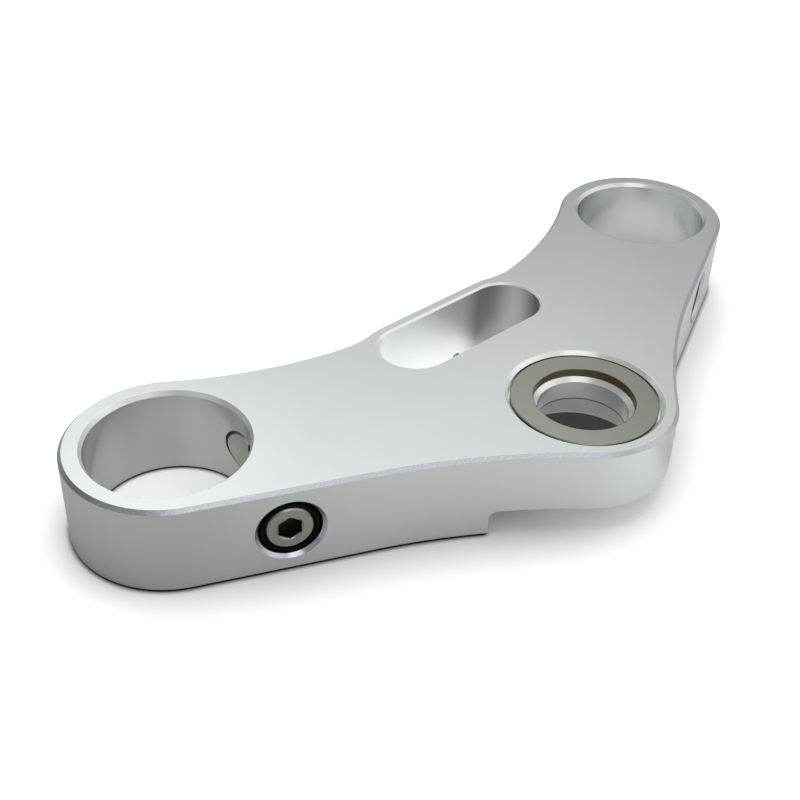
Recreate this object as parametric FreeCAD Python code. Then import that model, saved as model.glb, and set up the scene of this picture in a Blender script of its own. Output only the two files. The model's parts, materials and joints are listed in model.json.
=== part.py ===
import FreeCAD, Part
import math
import os

# Upper triple clamp: the plate that joins two fork tubes to the steering stem.
# Millimetres, +Z up, +Y forward, +X to the rider's right.
# The origin lies on the steering axis, where the stem's shoulder seats
# against the lower edge of the stem bore.

os.makedirs("parts", exist_ok=True)
V = FreeCAD.Vector

# Driving dimensions: what the plate joins
fork_tube_dia = 43.0
fork_spacing = 196.0
stem_dia = 25.4
stem_offset = 57.6
plate_thickness = 26.7

# Driving dimensions: the outline
fork_ring_radius = 27.53
nose_radius = 25.87
rear_flank_angle = 24.64
rear_blend_radius = 189.5
front_flank_radius = 122.66
front_flank_centre_x = 13.79
front_wall_proud = 2.88
front_flat_half = 18.9
front_corner_radius = 25.9
front_blend_radius = 29.3
top_chamfer = 1.0
bottom_chamfer = 0.8

# Driving dimensions: the slot behind the front wall
slot_width = 20.9
slot_length = 59.4
front_wall = 3.98
slot_chamfer = 0.6
slot_pass_step = 0.1

# Driving dimensions: the steering stem's seat, measured down from the top face
stem_seat_depth = 10.4
washer_seat_depth = 3.35
washer_dia = 41.0
washer_bore = 28.1
washer_thickness = 2.5
washer_edge = 0.25
recess_dia = 42.2
recess_chamfer = 1.05
stem_bore_chamfer = 1.25
shoulder_bore_dia = 34.6

# Driving dimensions: the relief under the stem
relief_depth = 7.5
relief_half_width = 38.0
relief_ahead_of_stem = 30.0
relief_corner_radius = 11.0
relief_inner_radius = 1.6

# Driving dimensions: the fork clamps
clamp_bore_dia = 17.0
clamp_axis_from_fork = 25.85
clamp_bore_reach = 14.2
clamp_mouth_chamfer = 0.95
barrel_dia = 16.0
barrel_face_depth = 1.15
outer_barrel_end = 3.0
inner_barrel_start = -2.0
inner_barrel_length = 11.0
screw_head_dia = 12.8
screw_head_height = 8.0
head_sink = 0.1
screw_dia = 8.0
screw_length = 30.0
socket_flats = 6.2
socket_depth = 4.2
socket_lead_depth = 0.25
socket_lead_over = 0.06

# Driving dimensions: the two small tapped holes in the front wall
bracket_hole_dia = 3.3
bracket_hole_spacing = 20.0
bracket_hole_above_base = 4.2

# Named clearances
fork_clearance = 0.05
stem_clearance = 0.04
head_clearance = 0.3
shank_clearance = 0.1
thread_clearance = 0.05
barrel_rest_gap = 0.05
lead_in_width = 0.85
lead_in_depth = 1.3
bore_exit_chamfer = 0.6
edge_break = 0.4

# How far a cutter runs past the metal, and how near a picked edge must lie
overcut = 5.0
level_match = 1e-4
place_match = 0.5

# Derived levels
z_top = stem_seat_depth
z_base = z_top - plate_thickness
z_mid = (z_top + z_base) / 2.0
z_washer = z_top - washer_seat_depth
z_relief = z_base + relief_depth
fork_y = stem_offset
fork_x = fork_spacing / 2.0
fork_bore_r = fork_tube_dia / 2.0 + fork_clearance
stem_bore_r = stem_dia / 2.0 + stem_clearance
flank_reach = front_flank_radius + fork_ring_radius
flank_y = fork_y + math.sqrt(flank_reach ** 2 - (fork_x - front_flank_centre_x) ** 2)
front_y = flank_y - front_flank_radius + front_wall_proud
slot_y = front_y - front_wall - slot_width / 2.0


def heading(a, b):
    # The angle of the line from a to b, in radians.
    return math.atan2(b.y - a.y, b.x - a.x)


def arc_edge(centre, r, a0, a1):
    # An arc in the XY plane from angle a0 to a1, in radians, either way round.
    points = []
    for a in (a0, (a0 + a1) / 2.0, a1):
        points.append(centre + V(r * math.cos(a), r * math.sin(a), 0))
    return Part.Arc(points[0], points[1], points[2]).toShape()


def line_edge(start, end):
    return Part.LineSegment(start, end).toShape()


def cylinder(r, z0, z1, x=0.0, y=0.0):
    return Part.makeCylinder(r, z1 - z0, V(x, y, z0))


def cone(r0, r1, z0, z1, x=0.0, y=0.0):
    return Part.makeCone(r0, r1, z1 - z0, V(x, y, z0))


def export(shape, name):
    shape.exportStep("parts/" + name + ".step")
    print(name, "valid", shape.isValid(), "solids", len(shape.Solids),
          "volume", round(shape.Volume, 1))


# Outline of the plate, right half
# Every arc meets its neighbour tangentially, so each meeting point is worked
# out from the two centres.
def reach_point(a, reach_a, b, reach_b):
    # The point at those two distances from a and b, to the right of a to b.
    span = b - a
    along = (reach_a ** 2 - reach_b ** 2 + span.Length ** 2) / (2.0 * span.Length)
    aside = math.sqrt(reach_a ** 2 - along ** 2)
    span.normalize()
    return a + span * along + V(span.y, -span.x, 0) * aside


def half_outline():
    stem = V(0, 0, 0)
    fork = V(fork_x, fork_y, 0)
    # Front: a straight edge, a convex corner, a concave blend, a wide concave flank
    corner = V(front_flat_half, front_y - front_corner_radius, 0)
    flank = V(front_flank_centre_x, flank_y, 0)
    blend = reach_point(corner, front_corner_radius + front_blend_radius,
                        flank, front_flank_radius - front_blend_radius)
    # Rear: a straight flank beside the fork, then a concave blend into the nose
    angle = math.radians(rear_flank_angle)
    outward = V(math.sin(angle), -math.cos(angle), 0)
    inward = V(-math.cos(angle), -math.sin(angle), 0)
    beside = fork + outward * (fork_ring_radius + rear_blend_radius)
    back = beside.dot(inward)
    excess = beside.Length ** 2 - (nose_radius + rear_blend_radius) ** 2
    hollow = beside - inward * (back + math.sqrt(back ** 2 - excess))
    turn = heading(corner, blend)
    return [
        line_edge(V(0, front_y, 0), V(front_flat_half, front_y, 0)),
        arc_edge(corner, front_corner_radius, math.pi / 2.0, turn),
        arc_edge(blend, front_blend_radius, turn - math.pi, heading(flank, blend)),
        arc_edge(flank, front_flank_radius, heading(flank, blend), heading(flank, fork)),
        arc_edge(fork, fork_ring_radius, heading(flank, fork) + math.pi, heading(stem, outward)),
        line_edge(fork + outward * fork_ring_radius, hollow - outward * rear_blend_radius),
        arc_edge(hollow, rear_blend_radius, heading(outward, stem), heading(hollow, stem)),
        arc_edge(stem, nose_radius, heading(stem, hollow), -math.pi / 2.0),
    ]


def mirrored(edge):
    return edge.mirror(V(0, 0, 0), V(1, 0, 0))


def stadium(width, length, z0, z1, y):
    # A long hole with full-round ends, along X.
    r = width / 2.0
    h = length / 2.0 - r
    edges = [
        line_edge(V(-h, y + r, 0), V(h, y + r, 0)),
        arc_edge(V(h, y, 0), r, math.pi / 2.0, -math.pi / 2.0),
        line_edge(V(h, y - r, 0), V(-h, y - r, 0)),
        arc_edge(V(-h, y, 0), r, -math.pi / 2.0, -3.0 * math.pi / 2.0),
    ]
    wire = Part.Wire(Part.__sortEdges__(edges))
    face = Part.Face(wire)
    face.translate(V(0, 0, z0))
    return face.extrude(V(0, 0, z1 - z0))


def edges_at(shape, z, keep=lambda box: True):
    # The edges that lie flat at that level and whose box is one to keep.
    found = []
    for edge in shape.Edges:
        box = edge.BoundBox
        if abs(box.ZMin - z) < level_match and abs(box.ZMax - z) < level_match and keep(box):
            found.append(edge)
    return found


# Fork clamps: one cross bore a side, square to the rear flank.
# The local frame has +Z along the bore, out of its mouth, with its zero
# level beside the fork's axis.
def clamp_frame(side, lower=0.0):
    a = math.radians(rear_flank_angle)
    nx, ny = side * math.sin(a), -math.cos(a)
    ux, uy = -side * math.cos(a), -math.sin(a)
    px = side * fork_x + ux * clamp_axis_from_fork
    py = fork_y + uy * clamp_axis_from_fork
    base = V(px, py, z_mid - lower)
    rot = FreeCAD.Rotation(V(1, 0, 0), V(0, 0, 1), V(nx, ny, 0), "ZXY")
    return FreeCAD.Placement(base, rot)


mouth_z = fork_ring_radius
barrel_drop = (clamp_bore_dia - barrel_dia) / 2.0 - barrel_rest_gap


def clamp_bore(side):
    r = clamp_bore_dia / 2.0
    tool = cylinder(r, -clamp_bore_reach, mouth_z + overcut)
    flare = cone(r, r + clamp_mouth_chamfer, mouth_z - clamp_mouth_chamfer, mouth_z)
    lip = cylinder(r + clamp_mouth_chamfer, mouth_z, mouth_z + overcut)
    tool = tool.fuse(flare).fuse(lip)
    tool.Placement = clamp_frame(side)
    return tool


def beside_slot(box):
    # Whether an edge's box lies within the slot's own rectangle.
    half_length = slot_length / 2.0 + place_match
    half_width = slot_width / 2.0 + place_match
    across = abs(box.XMin) < half_length and abs(box.XMax) < half_length
    return across and abs(box.YMin - slot_y) < half_width and abs(box.YMax - slot_y) < half_width


# The yoke: one billet
def make_yoke():
    half = half_outline()
    wire = Part.Wire(Part.__sortEdges__(half + [mirrored(e) for e in half]))
    face = Part.Face(wire)
    face.translate(V(0, 0, z_base))
    body = face.extrude(V(0, 0, plate_thickness))
    body = body.makeChamfer(top_chamfer, edges_at(body, z_top))

    # Relief under the stem, open to the rear
    w = relief_half_width
    rear = -(nose_radius + overcut)
    relief = Part.makeBox(2.0 * w, relief_ahead_of_stem - rear, relief_depth + overcut,
                          V(-w, rear, z_base - overcut))
    uprights = []
    for edge in relief.Edges:
        box = edge.BoundBox
        if box.ZLength > relief_depth and box.YMin > 0.0:
            uprights.append(edge)
    relief = relief.makeFillet(relief_corner_radius, uprights)
    ceiling = edges_at(relief, z_relief, lambda box: box.YMax > rear + place_match)
    relief = relief.makeFillet(relief_inner_radius, ceiling)
    body = body.cut(relief)

    # Bottom edge chamfer, round the plate, round the relief and up its two open ends
    rim = edges_at(body, z_base)
    for edge in body.Edges:
        box = edge.BoundBox
        upright = max(box.XLength, box.YLength) < level_match and box.ZLength > relief_depth / 2.0
        if upright and abs(abs(box.XMin) - w) < place_match and box.YMin < 0.0:
            rim.append(edge)
    body = body.makeChamfer(bottom_chamfer, rim)

    # Slot: milled from both faces, so a fine step is left at mid height
    grow = 2.0 * slot_pass_step
    body = body.cut(stadium(slot_width, slot_length, z_mid, z_top + overcut, slot_y))
    body = body.cut(stadium(slot_width + grow, slot_length + grow, z_base - overcut, z_mid, slot_y))
    for z in (z_top, z_base):
        body = body.makeChamfer(slot_chamfer, edges_at(body, z, beside_slot))

    # Fork bores, with a steep lead-in at the top
    for side in (-1, 1):
        x = side * fork_x
        r = fork_bore_r
        body = body.cut(cylinder(r, z_base - overcut, z_top + overcut, x, fork_y))
        body = body.cut(cone(r, r + lead_in_width, z_top - lead_in_depth, z_top, x, fork_y))
        c = bore_exit_chamfer
        body = body.cut(cone(r + c, r, z_base, z_base + c, x, fork_y))

    # Stem seat: recess for the washer, bore, and a wider bore from below
    r = recess_dia / 2.0
    c = recess_chamfer
    body = body.cut(cylinder(r, z_washer, z_top + overcut))
    body = body.cut(cone(r, r + c, z_top - c, z_top))
    c = stem_bore_chamfer
    body = body.cut(cylinder(stem_bore_r, z_base - overcut, z_top))
    body = body.cut(cone(stem_bore_r, stem_bore_r + c, z_washer - c, z_washer))
    r = shoulder_bore_dia / 2.0
    c = bore_exit_chamfer
    body = body.cut(cylinder(r, z_base - overcut, 0.0))
    body = body.cut(cone(r + c, r, z_relief, z_relief + c))

    # Clamp bores
    for side in (-1, 1):
        body = body.cut(clamp_bore(side))

    # Two tapped holes for a bracket, low in the front wall
    for side in (-1, 1):
        x = side * bracket_hole_spacing / 2.0
        hole = Part.makeCylinder(bracket_hole_dia / 2.0, front_wall + 2.0 * overcut,
                                 V(x, front_y + overcut, z_base + bracket_hole_above_base), V(0, -1, 0))
        body = body.cut(hole)
    return body.removeSplitter()


# Washer in the recess, under the stem nut
def make_washer():
    r0, r1 = washer_bore / 2.0, washer_dia / 2.0
    z1 = z_washer + washer_thickness
    ring = cylinder(r1, z_washer, z1).cut(cylinder(r0, z_washer - overcut, z1 + overcut))
    return ring.makeChamfer(washer_edge, edges_at(ring, z1))


def scallop(side):
    return cylinder(fork_bore_r, z_base - overcut, z_top + overcut, side * fork_x, fork_y)


# Outer clamp barrel: the screw's head sinks into it
face_z = mouth_z - barrel_face_depth
head_seat_z = face_z - screw_head_height - head_sink


def make_outer_barrel(side):
    r = barrel_dia / 2.0
    body = cylinder(r, outer_barrel_end, face_z)
    body = body.makeChamfer(edge_break, edges_at(body, face_z) + edges_at(body, outer_barrel_end))
    hr = screw_head_dia / 2.0 + head_clearance
    body = body.cut(cylinder(hr, head_seat_z, face_z + overcut))
    body = body.cut(cone(hr, hr + edge_break / 2.0, face_z - edge_break / 2.0, face_z))
    body = body.cut(cylinder(screw_dia / 2.0 + shank_clearance, outer_barrel_end - overcut, head_seat_z + overcut))
    body.Placement = clamp_frame(side, barrel_drop)
    return body.cut(scallop(side))


# Inner clamp barrel: tapped for the screw
def make_inner_barrel(side):
    r = barrel_dia / 2.0
    z1 = inner_barrel_start
    z0 = z1 - inner_barrel_length
    body = cylinder(r, z0, z1)
    body = body.makeChamfer(edge_break, edges_at(body, z1))
    body = body.cut(cylinder(screw_dia / 2.0 + thread_clearance, z0 - overcut, z1 + overcut))
    body.Placement = clamp_frame(side, barrel_drop)
    return body.cut(scallop(side))


# Clamp screw: socket head, hexagon with two flats upright
def make_screw(side):
    z1 = head_seat_z + screw_head_height
    head = cylinder(screw_head_dia / 2.0, head_seat_z, z1)
    head = head.makeChamfer(edge_break, edges_at(head, z1))
    corner_r = socket_flats / math.sqrt(3.0)
    points = []
    for i in range(7):
        a = math.radians(60.0 * i + 90.0)
        points.append(V(corner_r * math.cos(a), corner_r * math.sin(a), z1 + overcut))
    socket = Part.Face(Part.makePolygon(points)).extrude(V(0, 0, -socket_depth - overcut))
    lead_r = corner_r + socket_lead_over
    lead = cone(lead_r - socket_lead_depth, lead_r, z1 - socket_lead_depth, z1)
    head = head.cut(socket).cut(lead)
    end_z = head_seat_z - screw_length
    shank = cylinder(screw_dia / 2.0, end_z, head_seat_z)
    shank = shank.makeChamfer(edge_break, edges_at(shank, end_z))
    body = head.fuse(shank).removeSplitter()
    body.Placement = clamp_frame(side, barrel_drop)
    return body


yoke = make_yoke()
export(yoke, "yoke")
export(make_washer(), "stem_washer")
for side, tag in ((-1, "left"), (1, "right")):
    export(make_outer_barrel(side), "outer_barrel_" + tag)
    export(make_inner_barrel(side), "inner_barrel_" + tag)
    export(make_screw(side), "clamp_screw_" + tag)
box = yoke.BoundBox
print("yoke box", [round(v, 2) for v in (box.XMin, box.XMax, box.YMin, box.YMax, box.ZMin, box.ZMax)])
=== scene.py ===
import bmesh
import bpy
import json
import math
from mathutils import Matrix, Vector


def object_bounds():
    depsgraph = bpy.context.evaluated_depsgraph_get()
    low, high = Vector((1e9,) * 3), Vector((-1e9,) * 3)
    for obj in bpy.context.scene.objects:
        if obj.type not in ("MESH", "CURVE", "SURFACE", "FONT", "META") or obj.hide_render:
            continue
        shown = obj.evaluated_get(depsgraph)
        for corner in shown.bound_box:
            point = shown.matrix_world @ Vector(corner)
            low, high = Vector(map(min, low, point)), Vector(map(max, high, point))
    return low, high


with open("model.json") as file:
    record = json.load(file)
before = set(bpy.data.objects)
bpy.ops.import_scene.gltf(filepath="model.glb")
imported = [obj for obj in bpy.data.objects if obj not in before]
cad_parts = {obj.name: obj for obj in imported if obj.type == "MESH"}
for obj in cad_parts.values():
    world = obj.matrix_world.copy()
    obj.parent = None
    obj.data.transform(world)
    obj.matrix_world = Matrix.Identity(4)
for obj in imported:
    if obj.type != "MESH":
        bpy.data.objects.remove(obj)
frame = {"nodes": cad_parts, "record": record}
cad_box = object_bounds()
mm = 0.001


# The yoke
# One aluminium billet, milled and bored all over, glass bead blasted to a fine
# even grain and clear anodised. It holds both fork tubes and sits on the
# steering stem.
def linear(hex_colour):
    # An sRGB hex value as linear RGBA.
    parts = [int(hex_colour[i:i + 2], 16) / 255.0 for i in (1, 3, 5)]
    return [c / 12.92 if c <= 0.04045 else ((c + 0.055) / 1.055) ** 2.4 for c in parts] + [1.0]


def add(tree, kind, inputs=None, links=None, **settings):
    # Adds a node, sets its properties and inputs, and links sockets into it.
    node = tree.nodes.new(kind)
    for key, value in settings.items():
        setattr(node, key, value)
    for key, value in (inputs or {}).items():
        node.inputs[key].default_value = value
    for key, source in (links or {}).items():
        tree.links.new(source, node.inputs[key])
    return node


def new_material(name):
    # A material of that name, and its node tree, still empty.
    material = bpy.data.materials.new(name)
    material.use_nodes = True
    material.node_tree.nodes.clear()
    return material, material.node_tree


def dress(piece, material):
    # Gives the whole piece that material.
    for slot in piece.material_slots:
        slot.material = material
    if not piece.material_slots:
        piece.data.materials.append(material)


# Where the cutters finished the billet after blasting: bores, slot and chamfers
mounts = {mount["name"]: mount for mount in frame["record"]["mounts"]}
fork_rim = 22.45 * mm
recess_rim = 22.2 * mm
stem_wall_reach = 17.5 * mm
slot_radius = 10.45 * mm
slot_half = 29.7 * mm
slot_centre = 47.75 * mm
slot_rim_width = 0.7 * mm
slot_wall_margin = 0.12 * mm


def flat_place(tree):
    # The place on the part or the floor, seen from above.
    place = add(tree, "ShaderNodeTexCoord")
    return add(tree, "ShaderNodeVectorMath", {1: (1.0, 1.0, 0.0)},
               {0: place.outputs["Object"]}, operation="MULTIPLY")


def within_bore(tree, flat, mount_name, reach):
    # A mask that is 1 within that reach of a mount's axis.
    x, y = mounts[mount_name]["pos_m"][:2]
    away = add(tree, "ShaderNodeVectorMath", {1: (x, y, 0.0)}, {0: flat.outputs[0]},
               operation="DISTANCE")
    return add(tree, "ShaderNodeMath", {1: reach}, {0: away.outputs["Value"]},
               operation="LESS_THAN")


def within_slot(tree, flat, margin):
    # A mask that is 1 inside the slot's outline, grown by that margin.
    part = add(tree, "ShaderNodeSeparateXYZ", None, {0: flat.outputs[0]})
    side = add(tree, "ShaderNodeMath", None, {0: part.outputs["X"]}, operation="ABSOLUTE")
    side = add(tree, "ShaderNodeMath", {1: slot_half - slot_radius}, {0: side.outputs[0]},
               operation="SUBTRACT")
    side = add(tree, "ShaderNodeMath", {1: 0.0}, {0: side.outputs[0]}, operation="MAXIMUM")
    spot = add(tree, "ShaderNodeCombineXYZ", None, {"X": side.outputs[0], "Y": part.outputs["Y"]})
    away = add(tree, "ShaderNodeVectorMath", {1: (0.0, slot_centre, 0.0)}, {0: spot.outputs[0]},
               operation="DISTANCE")
    return add(tree, "ShaderNodeMath", {1: slot_radius + margin}, {0: away.outputs["Value"]},
               operation="LESS_THAN")


def any_of(tree, masks):
    # A mask that is 1 where any of these masks is.
    found = masks[0]
    for mask in masks[1:]:
        found = add(tree, "ShaderNodeMath", None, {0: found.outputs[0], 1: mask.outputs[0]},
                    operation="MAXIMUM")
    return found


# The clamp bores, square to the rear flanks and mirrored from right to left
clamp_lean = math.radians(24.64)
clamp_beside_fork = 25.85 * mm
clamp_level = -2.95 * mm
clamp_mouth = 27.53 * mm
clamp_rim = 9.5 * mm
clamp_wall = 8.8 * mm
clamp_end = 46.0 * mm
ring_end = 1.9 * mm


def clamp_axes(tree, place):
    # How far a place is from the nearer clamp bore's axis, and how deep behind its mouth.
    x, y = mounts["fork_clamp_right"]["pos_m"][:2]
    out = Vector((math.sin(clamp_lean), -math.cos(clamp_lean), 0.0))
    along = Vector((-math.cos(clamp_lean), -math.sin(clamp_lean), 0.0))
    base = Vector((x, y, clamp_level)) + along * clamp_beside_fork
    part = add(tree, "ShaderNodeSeparateXYZ", None, {0: place.outputs["Object"]})
    side = add(tree, "ShaderNodeMath", None, {0: part.outputs["X"]}, operation="ABSOLUTE")
    fold = add(tree, "ShaderNodeCombineXYZ", None,
               {"X": side.outputs[0], "Y": part.outputs["Y"], "Z": part.outputs["Z"]})
    from_base = add(tree, "ShaderNodeVectorMath", {1: base}, {0: fold.outputs[0]},
                    operation="SUBTRACT")
    height = add(tree, "ShaderNodeVectorMath", {1: out}, {0: from_base.outputs[0]},
                 operation="DOT_PRODUCT")
    square = add(tree, "ShaderNodeVectorMath", {1: out}, {0: from_base.outputs[0]},
                 operation="CROSS_PRODUCT")
    away = add(tree, "ShaderNodeVectorMath", None, {0: square.outputs[0]}, operation="LENGTH")
    depth = add(tree, "ShaderNodeMath", {0: clamp_mouth}, {1: height.outputs["Value"]},
                operation="SUBTRACT")
    return away.outputs["Value"], depth.outputs[0]


def within_clamp(tree, clamp_away, reach, at_depth):
    # A mask that is 1 within that reach of the clamp bore's axis, where at_depth is 1 too.
    by_axis = add(tree, "ShaderNodeMath", {1: reach}, {0: clamp_away}, operation="LESS_THAN")
    return add(tree, "ShaderNodeMath", None, {0: at_depth.outputs[0], 1: by_axis.outputs[0]},
               operation="MULTIPLY")


# Blasted, clear anodised aluminium: an even pale satin with no sharp glint, in
# clouds a few centimetres wide. The pits that beads leave are about 0.1 mm wide
# and are drawn as coarse as 0.35 mm, so that they show.
bead_grain = 0.35 * mm
cloud_size = 28.0 * mm
blasted_dark = "#CAD0CF"
blasted_light = "#D1D6D5"
blasted_aluminium, tree = new_material("blasted_clear_anodised_aluminium")
place = add(tree, "ShaderNodeTexCoord")
grain = add(tree, "ShaderNodeTexNoise",
            {"Scale": 1.0 / bead_grain, "Detail": 2.0, "Roughness": 0.6},
            {"Vector": place.outputs["Object"]})
cloud = add(tree, "ShaderNodeTexNoise", {"Scale": 1.0 / cloud_size, "Detail": 3.0},
            {"Vector": place.outputs["Object"]})
tint = add(tree, "ShaderNodeMix", {"A": linear(blasted_dark), "B": linear(blasted_light)},
           {"Factor": cloud.outputs["Fac"]}, data_type="RGBA")

# Cut faces are brighter than blasted ones. The countersunk ring at the mouth of
# a clamp bore is a little darker.
cut_bright = "#E9EDEB"
mouth_grey = "#BCBDC2"
flat = flat_place(tree)
clamp_away, clamp_depth = clamp_axes(tree, place)
fork_bores = any_of(tree, [within_bore(tree, flat, "fork_clamp_left", fork_rim),
                           within_bore(tree, flat, "fork_clamp_right", fork_rim)])
in_slot = within_slot(tree, flat, slot_rim_width)
before_end = add(tree, "ShaderNodeMath", {1: clamp_end}, {0: clamp_depth}, operation="LESS_THAN")
clamp_cut = within_clamp(tree, clamp_away, clamp_rim, before_end)
at_mouth = add(tree, "ShaderNodeMath", {1: ring_end}, {0: clamp_depth}, operation="LESS_THAN")
mouth_ring = within_clamp(tree, clamp_away, clamp_rim, at_mouth)
cut = any_of(tree, [fork_bores, within_bore(tree, flat, "stem_bore", recess_rim),
                    in_slot, clamp_cut])
finish = add(tree, "ShaderNodeMix", {"B": linear(cut_bright)},
             {"Factor": cut.outputs[0], "A": tint.outputs["Result"]}, data_type="RGBA")
finish = add(tree, "ShaderNodeMix", {"B": linear(mouth_grey)},
             {"Factor": mouth_ring.outputs[0], "A": finish.outputs["Result"]}, data_type="RGBA")

# The chamfer round the outline is worn to a grainy grey. Its specks are drawn
# half a millimetre wide, so that they show.
chamfer_rise = 0.68
chamfer_spread = 0.22
speck_size = 0.5 * mm
worn_grey = "#B0B1B8"
spot = add(tree, "ShaderNodeSeparateXYZ", None, {0: place.outputs["Object"]})
facing = add(tree, "ShaderNodeSeparateXYZ", None, {0: place.outputs["Normal"]})
sloped = add(tree, "ShaderNodeMath", {1: chamfer_rise, 2: chamfer_spread},
             {0: facing.outputs["Z"]}, operation="COMPARE")
outline_edge = add(tree, "ShaderNodeMath", None, {0: sloped.outputs[0], 1: cut.outputs[0]},
                   operation="SUBTRACT")
specks = add(tree, "ShaderNodeTexNoise", {"Scale": 1.0 / speck_size, "Detail": 1.0},
             {"Vector": place.outputs["Object"]})
specks = add(tree, "ShaderNodeMapRange",
             {"From Min": 0.35, "From Max": 0.6, "To Min": 0.45, "To Max": 0.85},
             {"Value": specks.outputs["Fac"]})
outline_edge = add(tree, "ShaderNodeMath", None,
                   {0: outline_edge.outputs[0], 1: specks.outputs["Result"]},
                   operation="MULTIPLY", use_clamp=True)
finish = add(tree, "ShaderNodeMix", {"B": linear(worn_grey)},
             {"Factor": outline_edge.outputs[0], "A": finish.outputs["Result"]},
             data_type="RGBA")

# Shade that the soft light leaves out is in the colour: at the slot's right end,
# in the clamp bores behind their mouths, and on the wall of the stem bore and
# the wider bore below it, with a dark line at level zero where the two meet
deep_grey = "#1C1C1D"
slot_shade_from = 11.0 * mm
slot_shade_to = 24.0 * mm
slot_shade_most = 0.58
clamp_shade_middle = 8.0 * mm
clamp_shade_half = 6.3 * mm
stem_wall_shade = 0.22
step_line_half = 0.3 * mm
upright_spread = 0.2
slot_end = add(tree, "ShaderNodeMapRange",
               {"From Min": slot_shade_from, "From Max": slot_shade_to, "To Max": slot_shade_most},
               {"Value": spot.outputs["X"]})
slot_end = add(tree, "ShaderNodeMath", None,
               {0: slot_end.outputs["Result"],
                1: within_slot(tree, flat, slot_wall_margin).outputs[0]}, operation="MULTIPLY")
behind_mouth = add(tree, "ShaderNodeMath", {1: clamp_shade_middle, 2: clamp_shade_half},
                   {0: clamp_depth}, operation="COMPARE")
in_clamp = within_clamp(tree, clamp_away, clamp_wall, behind_mouth)
upright = add(tree, "ShaderNodeMath", {1: 0.0, 2: upright_spread}, {0: facing.outputs["Z"]},
              operation="COMPARE")
step_line = add(tree, "ShaderNodeMath", {1: 0.0, 2: step_line_half}, {0: spot.outputs["Z"]},
                operation="COMPARE")
stem_wall = add(tree, "ShaderNodeMath", {1: stem_wall_shade}, {0: step_line.outputs[0]},
                operation="ADD")
stem_wall = add(tree, "ShaderNodeMath", None, {0: stem_wall.outputs[0], 1: upright.outputs[0]},
                operation="MULTIPLY")
stem_wall = add(tree, "ShaderNodeMath", None,
                {0: stem_wall.outputs[0],
                 1: within_bore(tree, flat, "stem_bore", stem_wall_reach).outputs[0]},
                operation="MULTIPLY")
shade = any_of(tree, [slot_end, in_clamp, stem_wall])
colour = add(tree, "ShaderNodeMix", {"B": linear(deep_grey)},
             {"Factor": shade.outputs[0], "A": finish.outputs["Result"]}, data_type="RGBA")

# The lead-in chamfers of the bores catch light from all round: they carry a painted
# highlight, a paler colour, and are drawn more matt than the cut faces beside them
lead_in_level = 5.6 * mm
lead_in_highlight = "#F6F8F7"
lead_in_metallic = 0.4
lead_in = add(tree, "ShaderNodeMath", {1: lead_in_level}, {0: spot.outputs["Z"]},
              operation="GREATER_THAN")
lead_in = add(tree, "ShaderNodeMath", None, {0: lead_in.outputs[0], 1: sloped.outputs[0]},
              operation="MULTIPLY")
lead_in = add(tree, "ShaderNodeMath", None, {0: lead_in.outputs[0], 1: cut.outputs[0]},
              operation="MULTIPLY")
metallic = add(tree, "ShaderNodeMapRange", {"To Min": 1.0, "To Max": lead_in_metallic},
               {"Value": lead_in.outputs[0]})
colour = add(tree, "ShaderNodeMix", {"B": linear(lead_in_highlight)},
             {"Factor": lead_in.outputs[0], "A": colour.outputs["Result"]}, data_type="RGBA")

# Painted shade and painted reflection: soft upright bands, darker and lighter by turns, on the
# walls of the fork bores
painted_band_width = 14.0 * mm
painted_bands = add(tree, "ShaderNodeTexNoise", {"Scale": 1.0 / painted_band_width, "Detail": 1.0},
            {"Vector": flat.outputs[0]})
painted_bands = add(tree, "ShaderNodeMapRange",
            {"From Min": 0.3, "From Max": 0.7, "To Min": 0.86, "To Max": 1.05},
            {"Value": painted_bands.outputs["Fac"]})
painted_bands = add(tree, "ShaderNodeMix", {"A": 1.0},
            {"Factor": fork_bores.outputs[0], "B": painted_bands.outputs["Result"]}, data_type="FLOAT")
colour = add(tree, "ShaderNodeVectorMath", None,
             {0: colour.outputs["Result"], "Scale": painted_bands.outputs["Result"]}, operation="SCALE")

# Bored faces are smoother than blasted ones, and the end-milled slot is about as
# rough as the blast. Every edge is broken by a tenth of a millimetre.
blasted_smoothest = 0.36
blasted_roughest = 0.42
bored_roughness = 0.24
milled_roughness = 0.4
broken_edge = 0.12 * mm
pit_depth = 0.02 * mm
satin = add(tree, "ShaderNodeMapRange", {"To Min": blasted_smoothest, "To Max": blasted_roughest},
            {"Value": grain.outputs["Fac"]})
milled = add(tree, "ShaderNodeMapRange", {"To Min": bored_roughness, "To Max": milled_roughness},
             {"Value": in_slot.outputs[0]})
roughness = add(tree, "ShaderNodeMix", None,
                {"Factor": cut.outputs[0], "A": satin.outputs["Result"],
                 "B": milled.outputs["Result"]}, data_type="FLOAT")
edges = add(tree, "ShaderNodeBevel", {"Radius": broken_edge}, samples=4)
pits = add(tree, "ShaderNodeBump", {"Strength": 0.25, "Distance": pit_depth},
           {"Height": grain.outputs["Fac"], "Normal": edges.outputs["Normal"]})
skin = add(tree, "ShaderNodeBsdfPrincipled", None,
           {"Base Color": colour.outputs[0], "Roughness": roughness.outputs["Result"],
            "Metallic": metallic.outputs["Result"], "Normal": pits.outputs["Normal"]})
add(tree, "ShaderNodeOutputMaterial", None, {"Surface": skin.outputs["BSDF"]})
dress(frame["nodes"]["yoke"], blasted_aluminium)


# The washer in the stem recess
# Stainless steel, turned and ground flat. It lies in the recess under the stem
# nut, a little warmer and darker than the blasted yoke round it.
washer_inside = 14.2 * mm

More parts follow.
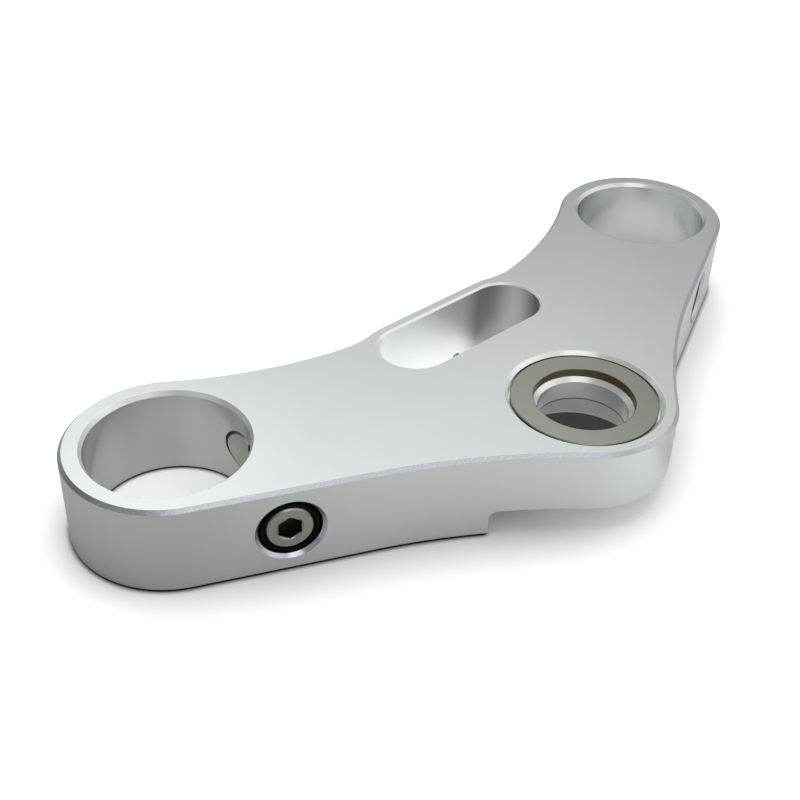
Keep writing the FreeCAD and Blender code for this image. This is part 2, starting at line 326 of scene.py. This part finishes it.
# Turned stainless steel: satin, with faint rings from the lathe and a brown-grey
# inner edge. The rings are about 0.1 mm apart and are drawn as coarse as half a
# millimetre, so that they show. The wave turns 20 radians in a unit of length.
ring_pitch = 0.49348 * mm
wave_turn = 20.0
ring_depth = 0.01 * mm
washer_grey = "#8E9087"
washer_brown = "#6E6650"
satin_stainless, tree = new_material("turned_satin_stainless")
place = add(tree, "ShaderNodeTexCoord")
rings = add(tree, "ShaderNodeTexWave",
            {"Scale": 2.0 * math.pi / (wave_turn * ring_pitch), "Distortion": 0.3},
            {"Vector": place.outputs["Object"]}, wave_type="RINGS", rings_direction="Z")
edges = add(tree, "ShaderNodeBevel", {"Radius": broken_edge}, samples=4)
cuts = add(tree, "ShaderNodeBump", {"Strength": 0.08, "Distance": ring_depth},
           {"Height": rings.outputs["Fac"], "Normal": edges.outputs["Normal"]})
inner = within_bore(tree, flat_place(tree), "stem_bore", washer_inside)
colour = add(tree, "ShaderNodeMix", {"A": linear(washer_grey), "B": linear(washer_brown)},
             {"Factor": inner.outputs[0]}, data_type="RGBA")
skin = add(tree, "ShaderNodeBsdfPrincipled", {"Metallic": 1.0, "Roughness": 0.3},
           {"Base Color": colour.outputs["Result"], "Normal": cuts.outputs["Normal"]})
add(tree, "ShaderNodeOutputMaterial", None, {"Surface": skin.outputs["BSDF"]})
dress(frame["nodes"]["stem_washer"], satin_stainless)


# The outer clamp barrels
# Two steel barrels, turned and blackened, that slide in the clamp bores. Each is
# scalloped to the fork tube and holds the head of its clamp screw.
def ridges(tree, distance, pitch, height):
    # A bump of even ridges, one for each pitch that the distance grows.
    turn = add(tree, "ShaderNodeMath", {1: 2.0 * math.pi / pitch}, {0: distance},
               operation="MULTIPLY")
    wave = add(tree, "ShaderNodeMath", None, {0: turn.outputs[0]}, operation="SINE")
    return add(tree, "ShaderNodeBump", {"Strength": 1.0, "Distance": height},
               {"Height": wave.outputs[0]})


def handled(tree, dark, light, smoothest, roughest, patch_size):
    # A colour and a roughness that wander together over patches of that size.
    place = add(tree, "ShaderNodeTexCoord")
    patch = add(tree, "ShaderNodeTexNoise", {"Scale": 1.0 / patch_size, "Detail": 3.0},
                {"Vector": place.outputs["Object"]})
    shade = add(tree, "ShaderNodeMix", {"A": linear(dark), "B": linear(light)},
                {"Factor": patch.outputs["Fac"]}, data_type="RGBA")
    satin = add(tree, "ShaderNodeMapRange", {"To Min": smoothest, "To Max": roughest},
                {"Value": patch.outputs["Fac"]})
    return shade, satin


# Black oxide on steel: nearly black, with hardly a shine. The turning marks are
# about 0.1 mm apart and are drawn as coarse as 0.35 mm, so that they show.
cut_pitch = 0.35 * mm
barrel_cut_height = 0.003 * mm
black_steel, tree = new_material("black_oxide_steel")
clamp_away = clamp_axes(tree, add(tree, "ShaderNodeTexCoord"))[0]
shade, satin = handled(tree, dark="#020202", light="#090909", smoothest=0.38, roughest=0.52,
                       patch_size=2.0 * mm)
turned = ridges(tree, clamp_away, cut_pitch, barrel_cut_height)
skin = add(tree, "ShaderNodeBsdfPrincipled", {"Specular IOR Level": 0.06},
           {"Base Color": shade.outputs["Result"], "Roughness": satin.outputs["Result"],
            "Normal": turned.outputs["Normal"]})
add(tree, "ShaderNodeOutputMaterial", None, {"Surface": skin.outputs["BSDF"]})
for side in ("left", "right"):
    dress(frame["nodes"]["outer_barrel_" + side], black_steel)


# The clamp screws
# Two M8 socket head screws of stainless steel, cold headed and thread rolled.
# Each sinks into its outer barrel and draws the inner barrel towards it.
socket_from = 1.55 * mm
socket_reach = 4.4 * mm
thread_from = 10.0 * mm
thread_pitch = 1.25 * mm
thread_height = 0.25 * mm

# Plain stainless steel: grey with a dull shine, marked in rings on the head,
# ridged on the thread, and painted with shade, brown-grey, in the socket, where little light gets
# in.
head_cut_height = 0.004 * mm
socket_shade_brown = "#5E5A50"
bright_steel, tree = new_material("plain_stainless")
clamp_away, clamp_depth = clamp_axes(tree, add(tree, "ShaderNodeTexCoord"))
past_face = add(tree, "ShaderNodeMath", {1: socket_from}, {0: clamp_depth},
                operation="GREATER_THAN")
in_socket = within_clamp(tree, clamp_away, socket_reach, past_face)
head, satin = handled(tree, dark="#8E8E87", light="#A8A8A1", smoothest=0.24, roughest=0.36,
                      patch_size=1.2 * mm)
shade = add(tree, "ShaderNodeMix", {"B": linear(socket_shade_brown)},
            {"Factor": in_socket.outputs[0], "A": head.outputs["Result"]}, data_type="RGBA")
turned = ridges(tree, clamp_away, cut_pitch, head_cut_height)
thread = ridges(tree, clamp_depth, thread_pitch, thread_height)
on_thread = add(tree, "ShaderNodeMath", {1: thread_from}, {0: clamp_depth},
                operation="GREATER_THAN")
relief = add(tree, "ShaderNodeMix", None,
             {"Factor": on_thread.outputs[0], "A": turned.outputs["Normal"],
              "B": thread.outputs["Normal"]}, data_type="VECTOR")
skin = add(tree, "ShaderNodeBsdfPrincipled", {"Metallic": 1.0},
           {"Base Color": shade.outputs["Result"], "Roughness": satin.outputs["Result"],
            "Normal": relief.outputs["Result"]})
add(tree, "ShaderNodeOutputMaterial", None, {"Surface": skin.outputs["BSDF"]})
for side in ("left", "right"):
    dress(frame["nodes"]["clamp_screw_" + side], bright_steel)


# The inner clamp barrels
# Two plain steel barrels, turned, and tapped for the clamp screws. Their milled
# scallops press on the fork tubes and show inside the fork bores.

# Milled steel: light grey and satin, with a slightly uneven shine from handling.
milled_steel, tree = new_material("milled_steel")
shade, satin = handled(tree, dark="#D2D2CB", light="#E0E0DA", smoothest=0.36, roughest=0.46,
                       patch_size=1.5 * mm)
skin = add(tree, "ShaderNodeBsdfPrincipled", {"Metallic": 1.0},
           {"Base Color": shade.outputs["Result"], "Roughness": satin.outputs["Result"]})
add(tree, "ShaderNodeOutputMaterial", None, {"Surface": skin.outputs["BSDF"]})
for side in ("left", "right"):
    dress(frame["nodes"]["inner_barrel_" + side], milled_steel)


# The floor
# A plain white paper sweep, flat under the part. What looks at it directly sees
# it white, and the object's soft shadow on it is painted shadow.
floor_size = 6.0
floor_level = cad_box[0].z
shape = bmesh.new()
bmesh.ops.create_grid(shape, x_segments=1, y_segments=1, size=floor_size / 2.0,
                      matrix=Matrix.Translation((0.0, 0.0, floor_level)))
mesh = bpy.data.meshes.new("floor")
shape.to_mesh(mesh)
shape.free()
floor = bpy.data.objects.new("floor", mesh)
bpy.context.scene.collection.objects.link(floor)

# White paper: matt and even. It glows by how much open sky it sees, so that it
# stays white away from the part and a soft painted shadow lies round it, with a round painted
# shadow under the stem.
sky_reach = 120.0 * mm
open_sky = 0.98
stem_spot = (22.0 * mm, 17.0 * mm, 0.0)
stem_spot_core = 12.0 * mm
stem_spot_rim = 20.0 * mm
floor_white, tree = new_material("white_sweep")
ray = add(tree, "ShaderNodeLightPath")
mirrored = add(tree, "ShaderNodeMath", None,
               {0: ray.outputs["Is Glossy Ray"], 1: ray.outputs["Is Transmission Ray"]},
               operation="MAXIMUM")
sky_seen = add(tree, "ShaderNodeAmbientOcclusion", {"Distance": sky_reach}, samples=8)
flat = flat_place(tree)
# Painted pools of light lie under the fork bores and the slot, and a painted shadow under the stem
under_forks = any_of(tree, [within_bore(tree, flat, "fork_clamp_left", fork_rim),
                            within_bore(tree, flat, "fork_clamp_right", fork_rim)])
under_slot = within_slot(tree, flat, 0.0)
under_stem = add(tree, "ShaderNodeVectorMath", {1: stem_spot}, {0: flat.outputs[0]},
                 operation="DISTANCE")
under_stem = add(tree, "ShaderNodeMapRange",
                 {"From Min": stem_spot_core, "From Max": stem_spot_rim,
                  "To Min": 1.0, "To Max": 0.0}, {"Value": under_stem.outputs["Value"]})


def paper_white(near, far, dark_limit, below_forks, below_slot, below_stem, ray_kind):
    # How white the paper looks to one kind of ray: near the part, far off, and
    # the painted light and shade added below its openings.
    open_level = add(tree, "ShaderNodeMapRange",
                     {"From Min": dark_limit, "From Max": open_sky, "To Min": near, "To Max": far},
                     {"Value": sky_seen.outputs["AO"]})
    fork_level = add(tree, "ShaderNodeMath", {1: below_forks}, {0: under_forks.outputs[0]},
                     operation="MULTIPLY")
    slot_level = add(tree, "ShaderNodeMath", {1: below_slot}, {0: under_slot.outputs[0]},
                     operation="MULTIPLY")
    stem_level = add(tree, "ShaderNodeMath", {1: below_stem}, {0: under_stem.outputs["Result"]},
                     operation="MULTIPLY")
    level = add(tree, "ShaderNodeMath", None,
                {0: fork_level.outputs[0], 1: slot_level.outputs[0]}, operation="ADD")
    level = add(tree, "ShaderNodeMath", None, {0: level.outputs[0], 1: stem_level.outputs[0]},
                operation="ADD")
    level = add(tree, "ShaderNodeMath", None,
                {0: level.outputs[0], 1: open_level.outputs["Result"]}, operation="ADD")
    return add(tree, "ShaderNodeMath", None, {0: level.outputs[0], 1: ray_kind},
               operation="MULTIPLY")


direct = paper_white(near=0.06, far=1.0, dark_limit=0.45, below_forks=0.44, below_slot=0.5,
                     below_stem=-0.02, ray_kind=ray.outputs["Is Camera Ray"])
reflected = paper_white(near=0.1, far=0.44, dark_limit=0.5, below_forks=0.17, below_slot=0.7,
                        below_stem=0.2, ray_kind=mirrored.outputs[0])

# Painted reflection: the part's sides mirror the floor, and the floor's glow to
# mirrored rays grows from left to right, with a dip to the right of the nose: millimetres across,
# and strength
reflection_glow_across = ((-115.0, 0.04), (-85.0, 0.32), (15.0, 0.83), (22.0, 0.8), (29.0, 0.15),
               (42.0, 0.2), (56.0, 0.85), (68.0, 0.95), (80.0, 0.69), (125.0, 0.38))
glow_gain = 1.8
glow_from = reflection_glow_across[0][0] * mm
glow_to = reflection_glow_across[-1][0] * mm
across = add(tree, "ShaderNodeSeparateXYZ", None, {0: flat.outputs[0]})
across = add(tree, "ShaderNodeMapRange", {"From Min": glow_from, "From Max": glow_to},
             {"Value": across.outputs["X"]})
spread = add(tree, "ShaderNodeValToRGB", None, {0: across.outputs["Result"]})
while len(spread.color_ramp.elements) < len(reflection_glow_across):
    spread.color_ramp.elements.new(1.0)
for stop, (x, strength) in zip(spread.color_ramp.elements, reflection_glow_across):
    stop.position = (x * mm - glow_from) / (glow_to - glow_from)
    stop.color = (strength, strength, strength, 1.0)
reflected = add(tree, "ShaderNodeMath", None,
                {0: reflected.outputs[0], 1: spread.outputs["Color"]}, operation="MULTIPLY")
reflected = add(tree, "ShaderNodeMath", {1: glow_gain}, {0: reflected.outputs[0]},
                operation="MULTIPLY")

# A painted contact shadow: a thin dark line follows the edge where the part touches the paper
touch_reach = 2.0 * mm
touch_dark = 0.35
touch_clear = 0.85
paper_pale = "#DADADA"
# The grey of the painted shadow under the stem
stem_shadow_grey = "#303030"
contact_shadow_grey = "#202020"
touch = add(tree, "ShaderNodeAmbientOcclusion", {"Distance": touch_reach}, samples=8)
touch = add(tree, "ShaderNodeMapRange", {"From Min": touch_dark, "From Max": touch_clear},
            {"Value": touch.outputs["AO"]})
lift = add(tree, "ShaderNodeMath", None, {0: direct.outputs[0], 1: reflected.outputs[0]},
           operation="ADD")
lift = add(tree, "ShaderNodeMath", None, {0: lift.outputs[0], 1: touch.outputs["Result"]},
           operation="MULTIPLY", use_clamp=True)
paper = add(tree, "ShaderNodeMix", {"A": linear(paper_pale), "B": linear(stem_shadow_grey)},
            {"Factor": under_stem.outputs["Result"]}, data_type="RGBA")
paper = add(tree, "ShaderNodeMix", {"A": linear(contact_shadow_grey)},
            {"Factor": touch.outputs["Result"], "B": paper.outputs["Result"]}, data_type="RGBA")
matt = add(tree, "ShaderNodeBsdfDiffuse", None, {"Color": paper.outputs["Result"]})
glow = add(tree, "ShaderNodeEmission", {"Color": (1.0, 1.0, 1.0, 1.0)},
           {"Strength": lift.outputs[0]})
both = add(tree, "ShaderNodeAddShader", None, {0: matt.outputs[0], 1: glow.outputs[0]})
add(tree, "ShaderNodeOutputMaterial", None, {"Surface": both.outputs[0]})
dress(floor, floor_white)


# The studio light
# A dim room with five soft glows on its walls, the strongest to the right, and
# three softboxes, two ahead of the part and one behind it, all plain white. The
# camera itself sees the room as white.
def direction(azimuth, height):
    # A unit vector: azimuth from +X towards +Y and height above the floor, in degrees.
    turn, rise = math.radians(azimuth), math.radians(height)
    return Vector((math.cos(rise) * math.cos(turn), math.cos(rise) * math.sin(turn),
                   math.sin(rise)))


# Each wall glow: its azimuth, height and strength
wall_glows = ((270.0, 25.0, 0.8), (320.0, 18.0, 0.95), (0.0, 55.0, 1.15), (184.0, 30.0, 0.5),
              (100.0, 10.0, 0.35))
glow_narrowness = 6.0
room_level = 0.02
world = bpy.data.worlds.new("white_room")
bpy.context.scene.world = world
world.use_nodes = True
tree = world.node_tree
tree.nodes.clear()
place = add(tree, "ShaderNodeTexCoord")
level = add(tree, "ShaderNodeValue")
level.outputs[0].default_value = room_level
for azimuth, height, strength in wall_glows:
    toward = add(tree, "ShaderNodeVectorMath", {1: direction(azimuth, height)},
                 {0: place.outputs["Generated"]}, operation="DOT_PRODUCT")
    toward = add(tree, "ShaderNodeMath", {1: 0.0}, {0: toward.outputs["Value"]},
                 operation="MAXIMUM")
    toward = add(tree, "ShaderNodeMath", {1: glow_narrowness}, {0: toward.outputs[0]},
                 operation="POWER")
    level = add(tree, "ShaderNodeMath", {1: strength},
                {0: toward.outputs[0], 2: level.outputs[0]}, operation="MULTIPLY_ADD")
ray = add(tree, "ShaderNodeLightPath")
level = add(tree, "ShaderNodeMix", {"B": 1.0},
            {"Factor": ray.outputs["Is Camera Ray"], "A": level.outputs[0]}, data_type="FLOAT")
back = add(tree, "ShaderNodeBackground", {"Color": (1.0, 1.0, 1.0, 1.0)},
           {"Strength": level.outputs["Result"]})
add(tree, "ShaderNodeOutputWorld", None, {"Surface": back.outputs[0]})


def softbox(name, place, aim, size, radiance):
    # A square area lamp whose face shows that radiance.
    data = bpy.data.lights.new(name, "AREA")
    data.shape = "SQUARE"
    data.size = size
    data.energy = radiance * math.pi * size ** 2
    lamp = bpy.data.objects.new(name, data)
    lamp.location = place
    lamp.rotation_euler = (place - aim).to_track_quat("Z", "Y").to_euler()
    bpy.context.scene.collection.objects.link(lamp)


# Each softbox: its name, azimuth, height and radiance
softboxes = (("softbox_ahead", 49.0, 50.0, 0.95), ("softbox_ahead_left", 88.0, 48.0, 1.5),
             ("softbox_behind", 239.0, 50.0, 1.2))
box_size = 0.5
box_reach = 0.85
middle = Vector((0.0, 0.03, 0.0))
for name, azimuth, height, radiance in softboxes:
    softbox(name, middle + direction(azimuth, height) * box_reach, middle, box_size, radiance)


# The camera
# Placed and turned as the photograph was taken: behind the part, to its left
# and above, with a 55 mm lens.
camera_place = (-226.02 * mm, -159.35 * mm, 208.17 * mm)
camera_turn = (53.4024, -1.7982, -42.9064)
lens = bpy.data.cameras.new("camera")
lens.lens = 55.0
lens.sensor_width = 36.0
lens.clip_start = 0.01
camera = bpy.data.objects.new("camera", lens)
camera.location = camera_place
camera.rotation_euler = [math.radians(angle) for angle in camera_turn]
bpy.context.scene.collection.objects.link(camera)
bpy.context.scene.camera = camera

bpy.context.scene.view_settings.view_transform = "Standard"
